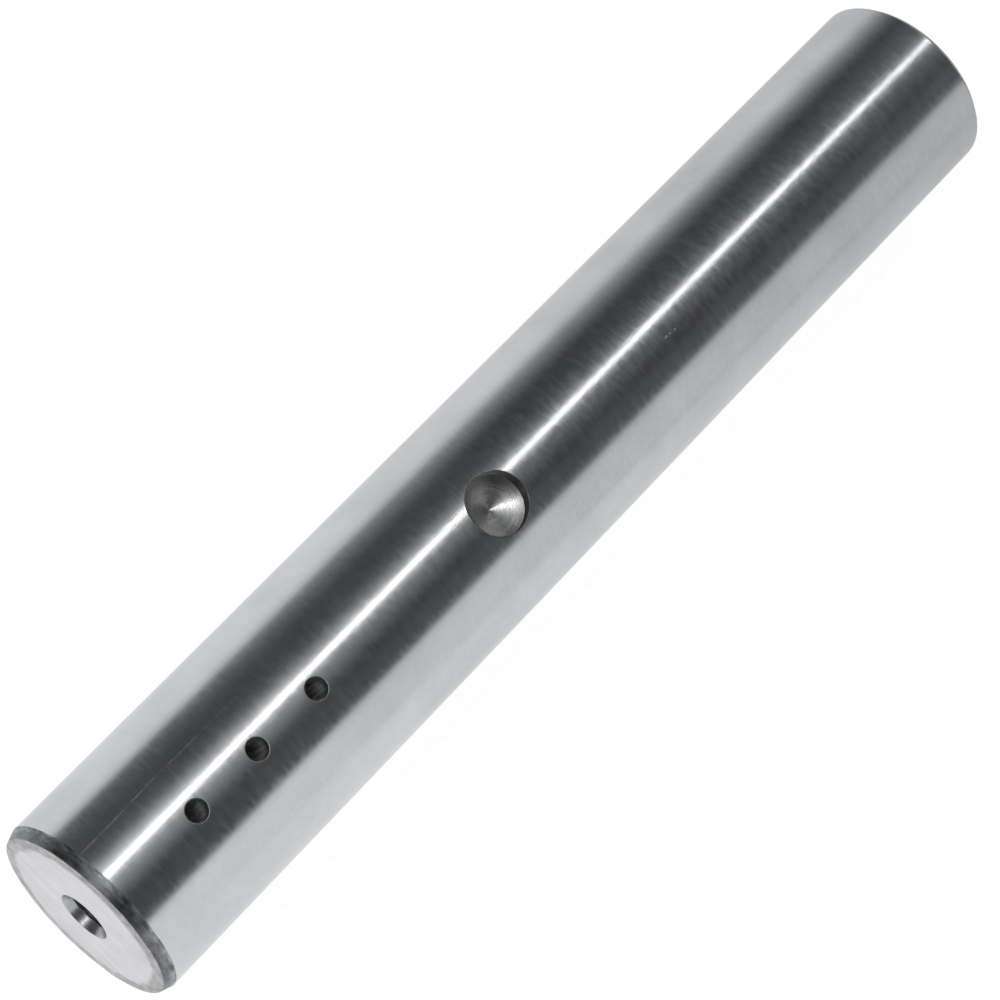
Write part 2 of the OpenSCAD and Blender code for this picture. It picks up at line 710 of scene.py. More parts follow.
@dataclass(frozen=True)
class GreasePort:
    """The countersunk port for the grease nipple: its gallery, drill point, thread and countersink."""

    axis: Axis
    bore_r: float
    bore_start: float
    bore_end: float
    gallery_r: float = 2.5
    gallery_past: float = 3.0
    drill_angle: float = 118.0
    thread_pitch: float = 1.0
    thread_depth: float = 0.46
    thread_fade: float = 0.7
    thread_crest: float = 0.12
    thread_flank: float = 0.76
    cells_per_pitch: int = 14
    gallery_patch: float = 2.1
    patch_margin: float = 0.2
    cone_normal: tuple[float, float] = (-0.6, -0.8)

    def gallery_wall(self) -> DrilledWall:
        """Gives the gallery's wall, which the grease holes break into."""
        return DrilledWall(self.axis, self.gallery_r, self.gallery_patch, Zone.BORE, long_step=1.5)

    def point_h(self, radius: float) -> float:
        """Gives the height of the drill's cone at a radius."""
        return radius / math.tan(math.radians(self.drill_angle / 2))

    def build(self, skin: Skin, holes: list[WallHole], turn: list[float]) -> tuple[Loop, list[Rim]]:
        """Sews the gallery and the threaded bore, from the gallery's tip out to the countersink.

        Args:
            skin: The skin to sew to.
            holes: The grease holes, from the deepest out.
            turn: The angles of the loops on the pin's end.

        Returns:
            The loop at the foot of the countersink, and each grease hole's rim in the gallery.
        """
        wall = self.gallery_wall()
        inner_turn = wall.angles()
        deep = holes[0].station + self.gallery_past
        tip = self.axis.place(deep + self.point_h(self.gallery_r), 0.0, 0.0)
        neck = self.bore_end + self.point_h(self.bore_r) - self.point_h(self.gallery_r)
        near = holes[-1].station - self.gallery_patch - self.patch_margin
        rows = wall.rows(deep, near, [hole.station for hole in holes])
        first, last, rims = wall.build(skin, rows, holes)
        skin.cap(first, tip, Vector((-1, 0, 0)), Zone.BORE, closing=False)
        last = self._straighten(skin, last, inner_turn, turn, near, neck)
        cone = [SectionPoint(self.bore_end, self.bore_r, *self.cone_normal, Zone.PORT)]
        last = self.axis.revolve(skin, cone, turn, last)
        return self._thread(skin, last, turn), rims

    def _straighten(self, skin: Skin, last: Loop, inner: list[float], outer: list[float],
                    near: float, neck: float, cells: int = 5) -> Loop:
        """Leads the gallery's loops from their own angles to those of the pin's end.

        Args:
            skin: The skin to sew to.
            last: The loop to start from.
            inner: The angles of the gallery's loops.
            outer: The angles of the loops on the pin's end.
            near: The station of the loop to start from.
            neck: The station where the gallery opens into the drill's cone.
            cells: The number of bands.

        Returns:
            The loop at the neck.
        """
        for k in range(1, cells + 1):
            share = k / cells
            turn = [a + share * (b - a) for a, b in zip(inner, outer)]
            station = near + share * (neck - near)
            band = [SectionPoint(station, self.gallery_r, 0.0, -1.0, Zone.BORE)]
            last = self.axis.revolve(skin, band, turn, last)
        return last

    def _groove(self, s: float, angle: float) -> float:
        """Works out the thread's depth at a place on the bore.

        Args:
            s: Station along the pin.
            angle: Angle from the crown.

        Returns:
            How far the thread cuts into the bore's wall there.
        """
        turns = (s / self.thread_pitch + angle / (2 * math.pi)) % 1.0
        ramp = 1 - abs(2 * turns - 1)
        cut = held((ramp - self.thread_crest) / self.thread_flank)
        fade_in = held((s - self.bore_start) / self.thread_fade)
        fade_out = held((self.bore_end - s) / self.thread_fade)
        return self.thread_depth * cut * fade_in * fade_out

    def _thread(self, skin: Skin, last: Loop, turn: list[float]) -> Loop:
        """Sews the thread, from the bore's foot out to the countersink.

        Args:
            skin: The skin to sew to.
            last: The loop at the bore's foot.
            turn: The angles of the loops.

        Returns:
            The loop at the foot of the countersink.
        """
        tiny = 0.01
        length = self.bore_end - self.bore_start
        cells = round(length / self.thread_pitch * self.cells_per_pitch)
        for k in range(1, cells + 1):
            s = self.bore_end - length * k / cells
            loop = []
            for angle in turn:
                r = self.bore_r + self._groove(s, angle)
                along = (self._groove(s + tiny, angle) - self._groove(s - tiny, angle)) / (2 * tiny)
                twist = (self._groove(s, angle + tiny) - self._groove(s, angle - tiny)) / (2 * tiny * r)
                side = Vector((0.0, math.cos(angle), -math.sin(angle)))
                normal = self.axis.direction(along, -1.0, angle) + side * twist
                loop.append(skin.point(self.axis.place(s, r, angle), normal))
            skin.bridge(last, loop, Zone.PORT)
            last = loop
        return last


class NodeSheet:
    """The node tree of one material or world, with short calls for the nodes that are used often."""

    def __init__(self, tree: bpy.types.NodeTree) -> None:
        """Clears the tree."""
        self.tree = tree
        tree.nodes.clear()

    def node(self, kind: str, inputs: dict[str | int, Any] | None = None, **settings: Any) -> bpy.types.Node:
        """Adds a node.

        Args:
            kind: The node's type, without the words ShaderNode.
            inputs: Values or output sockets for its inputs, by name or number.
            settings: The node's own settings.

        Returns:
            The node.
        """
        made = self.tree.nodes.new("ShaderNode" + kind)
        for key, value in settings.items():
            setattr(made, key, value)
        for key, value in (inputs or {}).items():
            if isinstance(value, bpy.types.NodeSocket):
                self.tree.links.new(value, made.inputs[key])
            else:
                made.inputs[key].default_value = value
        return made

    def calc(self, operation: str, first: Amount, second: Amount = 0.0) -> Socket:
        """Adds a Math node and gives its result."""
        return self.node("Math", {0: first, 1: second}, operation=operation).outputs[0]

    def fold(self, operation: str, terms: tuple[Amount, ...]) -> Amount:
        """Joins terms by a Math operation, two at a time.

        Args:
            operation: The Math node's operation.
            terms: Sockets and numbers, at least one.

        Returns:
            The result.
        """
        total = terms[0]
        for term in terms[1:]:
            total = self.calc(operation, total, term)
        return total

    def sum(self, *terms: Amount) -> Amount:
        """Adds sockets and numbers together."""
        return self.fold("ADD", terms)

    def product(self, *terms: Amount) -> Amount:
        """Multiplies sockets and numbers together."""
        return self.fold("MULTIPLY", terms)

    def blend(self, *parts: tuple[Socket, float]) -> Amount:
        """Adds sockets together, each with its own weight."""
        return self.sum(*(self.product(value, weight) for value, weight in parts))

    def rescale(self, value: Amount, low: float, high: float, to_low: float, to_high: float,
                smooth: bool = False) -> Socket:
        """Maps a value from one range to another.

        Args:
            value: The socket to map.
            low: The value that becomes to_low.
            high: The value that becomes to_high.
            to_low: The result at low.
            to_high: The result at high.
            smooth: True for an easy start and end.

        Returns:
            The mapped value, held inside the new range.
        """
        made = self.node("MapRange", {"Value": value, "From Min": low, "From Max": high,
                                      "To Min": to_low, "To Max": to_high})
        made.interpolation_type = "SMOOTHSTEP" if smooth else "LINEAR"
        return made.outputs[0]

    def noise(self, coords: Socket, cell: Triple, detail: float = 2.0, rough: float = 0.5) -> Socket:
        """Adds noise whose cells have a real size.

        Args:
            coords: Object coordinates, in metres.
            cell: The size of a cell along X, Y and Z, in millimetres.
            detail: How many finer layers it has.
            rough: How strong the finer layers are.

        Returns:
            The noise, from 0 to 1.
        """
        scale = tuple(1 / (size * MM) for size in cell)
        mapped = self.node("Mapping", {"Vector": coords, "Scale": scale}).outputs[0]
        made = self.node("TexNoise", {"Vector": mapped, "Scale": 1.0, "Detail": detail, "Roughness": rough})
        return made.outputs[0]

    def parts(self, coords: Socket) -> bpy.types.NodeOutputs:
        """Gives the X, Y and Z of a vector."""
        return self.node("SeparateXYZ", {0: coords}).outputs

    def vector(self, operation: str, first: Socket | Triple, second: Socket | Triple = (0, 0, 0)) -> Socket:
        """Adds a Vector Math node and gives its vector."""
        return self.node("VectorMath", {0: first, 1: second}, operation=operation).outputs[0]

    def length(self, first: Socket, second: Socket) -> Socket:
        """Gives the length of an arm from its two parts."""
        arm = self.node("CombineXYZ", {0: first, 1: second}).outputs[0]
        return self.node("VectorMath", {0: arm}, operation="LENGTH").outputs["Value"]

    def radius(self, coords: Socket) -> Socket:
        """Gives the distance from the pin's axis."""
        _, y, z = self.parts(coords)
        return self.length(y, z)

    def minus(self, first: Amount, second: Amount) -> Socket:
        """Takes one amount from another."""
        return self.calc("SUBTRACT", first, second)

    def tint(self, amount: Amount, dark: Colour, light: Colour) -> Socket:
        """Mixes two colours by an amount from 0 to 1."""
        return self.node("MixRGB", {0: amount, 1: dark, 2: light}).outputs[0]


@dataclass(frozen=True)
class Pattern:
    """What a finish is drawn from: coordinates, cloudy noise, tool marks and scratches."""

    coords: Socket
    cloud: Socket
    marks: Socket
    scratches: Amount


@dataclass(frozen=True)
class SteelFinish:
    """A bare steel finish: its tones, its polish, and the size and way of its tool marks."""

    name: str
    dark: Colour
    light: Colour
    polish: float
    polish_swing: float
    lay: Lay
    lay_width: float
    lay_length: float
    lay_height: float
    lay_detail: float = 3.0
    grain: float = 0.0
    smudge: float = 8.0
    streaks: float = 0.4
    anisotropy: float = 0.0
    metal: float = 1.0
    edge_tint: float = 1.0
    coat: float = 0.0
    coat_polish: float = 0.15
    seat_centre: Triple = (0.0, 0.0, 0.0)
    noise_low: float = 0.3
    noise_high: float = 0.7
    swing_low: float = 0.38
    swing_high: float = 0.64
    marks_share: float = 0.7
    fine_share: float = 0.65
    fine_rough: float = 0.6
    broad_times: float = 4.0

    def material(self) -> bpy.types.Material:
        """Makes the material.

        Returns:
            The finished material.
        """
        made = bpy.data.materials.new(self.name)
        made.use_nodes = True
        sheet = NodeSheet(made.node_tree)
        coords = sheet.node("TexCoord").outputs["Object"]
        cloud = sheet.noise(coords, (self.smudge,) * 3, detail=4.0, rough=0.55)
        pattern = Pattern(coords, cloud, self._marks(sheet, coords), self._scratches(sheet, coords))
        bump = sheet.node("Bump", {"Height": self._relief(sheet, pattern), "Strength": 1.0,
                                   "Distance": self.lay_height * MM})
        shader = sheet.node("BsdfPrincipled", {
            "Base Color": sheet.tint(self._tone(sheet, pattern), self.dark, self.light),
            "Roughness": self._polish(sheet, pattern), "Normal": bump.outputs[0],
            "Metallic": self.metal, "Specular Tint": grey(self.edge_tint),
            "Anisotropic": self.anisotropy, "Anisotropic Rotation": QUARTER_TURN,
            "Coat Weight": self.coat, "Coat Roughness": self.coat_polish,
        })
        if self.anisotropy > 0:
            sheet.tree.links.new(self._tangent(sheet, coords), shader.inputs["Tangent"])
        sheet.node("OutputMaterial", {"Surface": shader.outputs[0]})
        return made

    def _tone(self, sheet: NodeSheet, pattern: Pattern) -> Amount:
        """Works out how light the steel is at each place, from 0, dark, to 1, light."""
        mixed = sheet.blend((pattern.cloud, 1 - self.streaks), (pattern.marks, self.streaks))
        return sheet.rescale(mixed, self.noise_low, self.noise_high, 0.0, 1.0)

    def _polish(self, sheet: NodeSheet, pattern: Pattern) -> Amount:
        """Works out how dull the steel is at each place, as a roughness."""
        mixed = sheet.blend((pattern.marks, self.marks_share), (pattern.cloud, 1 - self.marks_share))
        return self._swing(sheet, mixed)

    def _swing(self, sheet: NodeSheet, amount: Amount) -> Socket:
        """Turns noise into a roughness that swings about the finish's own."""
        low, high = self.polish - self.polish_swing, self.polish + self.polish_swing
        return sheet.rescale(amount, self.swing_low, self.swing_high, low, high)

    def _relief(self, sheet: NodeSheet, pattern: Pattern) -> Amount:
        """Gives the height of the finish: its tool marks and its grain.

        Args:
            sheet: The node tree.
            pattern: What the finish is drawn from.

        Returns:
            The height, from 0 to 1, or to 2 with a grain.
        """
        if self.grain == 0.0:
            return pattern.marks
        return sheet.sum(pattern.marks, sheet.noise(pattern.coords, (self.grain,) * 3, detail=3.0))

    def _scratches(self, sheet: NodeSheet, coords: Socket) -> Amount:
        """Gives the scratches, of which a plain finish has none."""
        return 0.0

    def _marks(self, sheet: NodeSheet, coords: Socket) -> Amount:
        """Makes the tool marks: long, thin noise cells laid along the lay.

        Args:
            sheet: The node tree.
            coords: Object coordinates.

        Returns:
            The marks, from 0 to 1.
        """
        thin, long = self.lay_width, self.lay_length
        if self.lay is Lay.ROUND_THE_SEAT:
            return self._rings(sheet, coords)
        cell = (long, long, thin) if self.lay is Lay.ACROSS_THE_FACE else (thin, long, long)
        fine = sheet.noise(coords, cell, detail=self.lay_detail, rough=self.fine_rough)
        broad = sheet.noise(coords, tuple(self.broad_times * size for size in cell))
        return sheet.blend((fine, self.fine_share), (broad, 1 - self.fine_share))

    def _rings(self, sheet: NodeSheet, coords: Socket) -> Socket:
        """Makes tool marks that run round the seat's axis, as noise of the distance from it.

        Args:
            sheet: The node tree.
            coords: Object coordinates.

        Returns:
            The marks, from 0 to 1.
        """
        x, y, _ = sheet.parts(self._from_seat(sheet, coords))
        stretched = sheet.product(sheet.length(x, y), self.lay_length / self.lay_width)
        polar = sheet.node("CombineXYZ", {0: stretched, 1: x, 2: y}).outputs[0]
        return sheet.noise(polar, (self.lay_length,) * 3, detail=self.lay_detail, rough=self.fine_rough)

    def _from_seat(self, sheet: NodeSheet, coords: Socket) -> Socket:
        """Gives the arm from the seat's axis to each place."""
        return sheet.vector("SUBTRACT", coords, self.seat_centre)

    def _tangent(self, sheet: NodeSheet, coords: Socket) -> Socket:
        """Gives the direction along the tool marks.

        Args:
            sheet: The node tree.
            coords: Object coordinates.

        Returns:
            A direction in the surface.
        """
        if self.lay is Lay.ROUND_THE_SEAT:
            arm = self._from_seat(sheet, coords)
            return sheet.vector("NORMALIZE", sheet.vector("CROSS_PRODUCT", (0, 0, 1), arm))
        return sheet.node("Tangent", direction_type="RADIAL", axis="X").outputs[0]


@dataclass(frozen=True)
class Nick:
    """A short bright nick in the outside: its place along the pin, its angle from the crown, its length."""

    along: float
    angle: float
    length: float


@dataclass(frozen=True)
class GroundFinish(SteelFinish):
    """The ground outside: a fine uneven lay, a long scratch, and a few nicks and specks."""

    pin_r: float = 15.0
    blot: float = 1.4
    blot_share: float = 0.4
    blot_squash: float = 0.6
    line_angle: float = 27.4
    line_from: float = -92.0
    line_to: float = -58.0
    line_fade: float = 16.0
    line_width: float = 0.15
    line_start: float = 1.0
    sway: float = 0.12
    sway_cell: float = 12.0
    break_cell: float = 1.6
    break_from: float = 0.36
    break_to: float = 0.6
    faintest: float = 0.25
    strongest: float = 0.85
    nicks: tuple[Nick, ...] = (Nick(23.8, -2.2, 0.9), Nick(24.7, -2.3, 0.5), Nick(25.7, -2.6, 0.7))
    nick_width: float = 0.3
    nick_core: float = 0.3
    scratch_dullness: float = 0.3
    speck_cell: float = 8.0
    speck_size: float = 0.17
    speck_core: float = 0.6
    speck_rarity: float = 0.7
    speck_tone: float = 0.2

    def _tone(self, sheet: NodeSheet, pattern: Pattern) -> Amount:
        """Works out how light the steel is, with the scratches lighter and the specks darker."""
        bright = sheet.sum(super()._tone(sheet, pattern), pattern.scratches)
        return sheet.product(bright, self._clear_of_specks(sheet, pattern.coords))

    def _polish(self, sheet: NodeSheet, pattern: Pattern) -> Amount:
        """Works out how dull the steel is: uneven along the lay, and duller on the scratches."""
        dull = sheet.product(pattern.scratches, self.scratch_dullness)
        return sheet.sum(self._swing(sheet, pattern.marks), dull)

    def _marks(self, sheet: NodeSheet, coords: Socket) -> Amount:
        """Makes the ground lay, with small blots in it.

        Args:
            sheet: The node tree.
            coords: Object coordinates.

        Returns:
            The marks, from 0 to 1.
        """
        blots = sheet.noise(coords, (self.blot_squash * self.blot, self.blot, self.blot))
        lay = super()._marks(sheet, coords)
        return sheet.blend((lay, 1 - self.blot_share), (blots, self.blot_share))

    def _scratches(self, sheet: NodeSheet, coords: Socket) -> Amount:
        """Draws the long scratch and the nicks on the unrolled outside.

        Args:
            sheet: The node tree.
            coords: Object coordinates.

        Returns:
            Up to 1 on the scratch and the nicks, and 0 elsewhere.
        """
        x, y, z = sheet.parts(coords)
        around = sheet.product(sheet.calc("ARCTAN2", y, z), self.pin_r * MM)
        return sheet.sum(self._line(sheet, coords, x, around), *self._nicks(sheet, x, around))

    def _rolled(self, angle: float) -> float:
        """Gives the distance round the pin from its crown to an angle."""
        return math.radians(angle) * self.pin_r * MM

    def _line(self, sheet: NodeSheet, coords: Socket, along: Socket, around: Socket) -> Amount:
        """Draws the long thin scratch that runs along the pin from the port's end.

        Args:
            sheet: The node tree.
            coords: Object coordinates.
            along: Distance along the pin.
            around: Distance round the pin from its crown.

        Returns:
            1 on the scratch and 0 off it.
        """
        wavy = sheet.noise(coords, (self.sway_cell,) * 3)
        sway = sheet.rescale(wavy, self.noise_low, self.noise_high, -self.sway * MM, self.sway * MM)
        off = sheet.calc("ABSOLUTE", sheet.sum(around, sway, -self._rolled(self.line_angle)))
        thin = sheet.rescale(off, 0.0, self.line_width * MM, 1.0, 0.0)
        broken = sheet.rescale(sheet.noise(coords, (self.break_cell,) * 3), self.break_from, self.break_to,
                               self.faintest, self.strongest)
        tail = sheet.rescale(along, (self.line_to - self.line_fade) * MM, self.line_to * MM, 1.0, 0.0)
        head = sheet.rescale(along, (self.line_from - self.line_start) * MM, self.line_from * MM, 0.0, 1.0)
        return sheet.product(thin, broken, tail, head)

    def _nicks(self, sheet: NodeSheet, along: Socket, around: Socket) -> list[Socket]:
        """Draws the nicks as small slim ovals that lie along the pin.

        Args:
            sheet: The node tree.
            along: Distance along the pin.
            around: Distance round the pin from its crown.

        Returns:
            For each nick, 1 at its middle and 0 off it.
        """
        drawn = []
        for nick in self.nicks:
            ahead = sheet.product(sheet.sum(along, -nick.along * MM), 2 / (nick.length * MM))
            aside = sheet.product(sheet.sum(around, -self._rolled(nick.angle)), 2 / (self.nick_width * MM))
            drawn.append(sheet.rescale(sheet.length(ahead, aside), self.nick_core, 1.0, 1.0, 0.0))
        return drawn

    def _clear_of_specks(self, sheet: NodeSheet, coords: Socket) -> Socket:
        """Marks a few tiny dark specks.

        Args:
            sheet: The node tree.
            coords: Object coordinates.

        Returns:
            The specks' own tone on a speck and 1 off it.
        """
        cells = sheet.node("TexVoronoi", {"Vector": coords, "Scale": 1 / (self.speck_cell * MM)}).outputs
        share = self.speck_size / self.speck_cell
        speck = sheet.rescale(cells["Distance"], share * self.speck_core, share, 1.0, 0.0)
        chosen = sheet.calc("GREATER_THAN", sheet.parts(cells["Color"])[0], self.speck_rarity)
        return sheet.rescale(sheet.product(speck, chosen), 0.0, 1.0, 1.0, self.speck_tone)


@dataclass(frozen=True)
class MottledFinish(SteelFinish):
    """A rough turned edge: dark, with light mottles drawn out round the pin and a worn strip at its rim."""

    mottle: float = 0.5
    mottle_length: float = 1.6
    worn_from: float = 14.55
    worn_to: float = 14.95
    worn_tone: float = 0.75
    patch: Triple = (0.7, 2.4, 2.4)
    patch_from: float = 0.42
    patch_to: float = 0.62
    cloud_weight: float = 0.40
    mottle_weight: float = 0.35
    marks_weight: float = 0.25
    plain_from: float = 0.40
    plain_to: float = 0.70
    plain_tone: float = 0.65

    def _tone(self, sheet: NodeSheet, pattern: Pattern) -> Amount:
        """Works out how light the steel is at each place, from the mottles and the worn strip.

        Args:
            sheet: The node tree.
            pattern: What the finish is drawn from.

        Returns:
            The tone, from 0, dark, to 1 or more, light.
        """
        cell = (self.mottle, self.mottle_length, self.mottle_length)
        drawn = sheet.noise(pattern.coords, cell, detail=3.0, rough=0.55)
        mixed = sheet.blend((pattern.cloud, self.cloud_weight), (drawn, self.mottle_weight),
                            (pattern.marks, self.marks_weight))
        plain = sheet.rescale(mixed, self.plain_from, self.plain_to, 0.0, self.plain_tone)
        worn = sheet.rescale(sheet.radius(pattern.coords), self.worn_from * MM, self.worn_to * MM,
                             0.0, self.worn_tone, True)
        patches = sheet.noise(pattern.coords, self.patch, detail=3.0)
        patchy = sheet.rescale(patches, self.patch_from, self.patch_to, 0.0, 1.0)
        return sheet.sum(plain, sheet.product(worn, patchy))


@dataclass(frozen=True)
class BoreFinish(SteelFinish):
    """A drilled bore with painted light and shade: dark at its mouth, and lighter deeper down, broken into
    streaks along the hole.
    """

    mouth_r: float = 14.7
    deep_r: float = 12.0
    streak: float = 0.5
    streak_times: float = 12.0
    streak_from: float = 0.40
    streak_to: float = 0.60
    least_streak: float = 0.35

    def _tone(self, sheet: NodeSheet, pattern: Pattern) -> Amount:
        """Works out how light the steel is at each place, as painted light that grows with depth and is
        broken by streaks.

        Args:
            sheet: The node tree.
            pattern: What the finish is drawn from.

        Returns:
            The tone, from 0, dark, to 1, light.
        """
        from_axis = sheet.radius(pattern.coords)
        # painted light: the colour goes from dark at the mouth to light deeper down, broken into streaks
        deep = sheet.rescale(from_axis, self.mouth_r * MM, self.deep_r * MM, 0.0, 1.0, True)
        drawn = sheet.noise(pattern.coords, (self.streak, self.streak, self.streak_times * self.streak))
        streaks = sheet.rescale(drawn, self.streak_from, self.streak_to, self.least_streak, 1.0)
        return sheet.product(deep, streaks)


@dataclass(frozen=True)
class SeatFinish(SteelFinish):
    """The floor of the seat, with painted shade: lighter in the middle and darker towards its rim, most on
    one side.
    """

    unshaded_x: float = -0.2
    unshaded_y: float = -0.6
    unshaded_r: float = 2.9
    shade_r: float = 4.7
    shade_share: float = 0.6
    least_tone: float = 0.62

    def _tone(self, sheet: NodeSheet, pattern: Pattern) -> Amount:
        """Works out how light the steel is at each place, with painted shade darker towards the rim.

        Args:
            sheet: The node tree.
            pattern: What the finish is drawn from.

        Returns:
            The tone, from 0, dark, to 1, light.
        """
        x, y, _ = sheet.parts(self._from_seat(sheet, pattern.coords))
        # painted shade: the floor darkens with distance from an off-centre middle, so one side of the rim is
        # darkest
        off = sheet.length(sheet.sum(x, -self.unshaded_x * MM), sheet.sum(y, -self.unshaded_y * MM))
        rim = sheet.rescale(off, self.unshaded_r * MM, self.shade_r * MM, 1.0, 1.0 - self.shade_share, True)
        plain = sheet.rescale(super()._tone(sheet, pattern), 0.0, 1.0, self.least_tone, 1.0)
        return sheet.product(plain, rim)


@dataclass(frozen=True)
class EndFaceFinish(SteelFinish):
    """A faced end whose outer ring is duller and more mottled than the flat inside it."""

    ring_from: float = 11.9
    ring_to: float = 12.9
    ring_stray: float = 0.35
    stray_cell: float = 2.6
    mottle: float = 1.3
    mottle_from: float = 0.36
    mottle_to: float = 0.70
    ring_tone: float = 0.42
    face_from: float = 0.34
    face_to: float = 0.64
    face_tone: float = 0.5
    face_cloud: float = 0.4

    def _tone(self, sheet: NodeSheet, pattern: Pattern) -> Amount:
        """Works out how light the steel is at each place, darker on the outer ring.

        Args:
            sheet: The node tree.
            pattern: What the finish is drawn from.

        Returns:
            The tone, from 0, dark, to 1, light.
        """
        wavy = sheet.noise(pattern.coords, (self.stray_cell,) * 3, detail=1.0)
        most = self.ring_stray * MM
        stray = sheet.rescale(wavy, self.noise_low, self.noise_high, -most, most)
        ring = sheet.rescale(sheet.sum(sheet.radius(pattern.coords), stray),
                             self.ring_from * MM, self.ring_to * MM, 0.0, 1.0, True)
        mottles = sheet.noise(pattern.coords, (self.mottle,) * 3)
        dull = sheet.rescale(mottles, self.mottle_from, self.mottle_to, 0.0, self.ring_tone)
        mixed = sheet.blend((pattern.cloud, self.face_cloud), (pattern.marks, 1 - self.face_cloud))
        plain = sheet.rescale(mixed, self.face_from, self.face_to, self.face_tone, 1.0)
        drop = sheet.product(ring, sheet.minus(plain, dull))
        return sheet.minus(plain, drop)


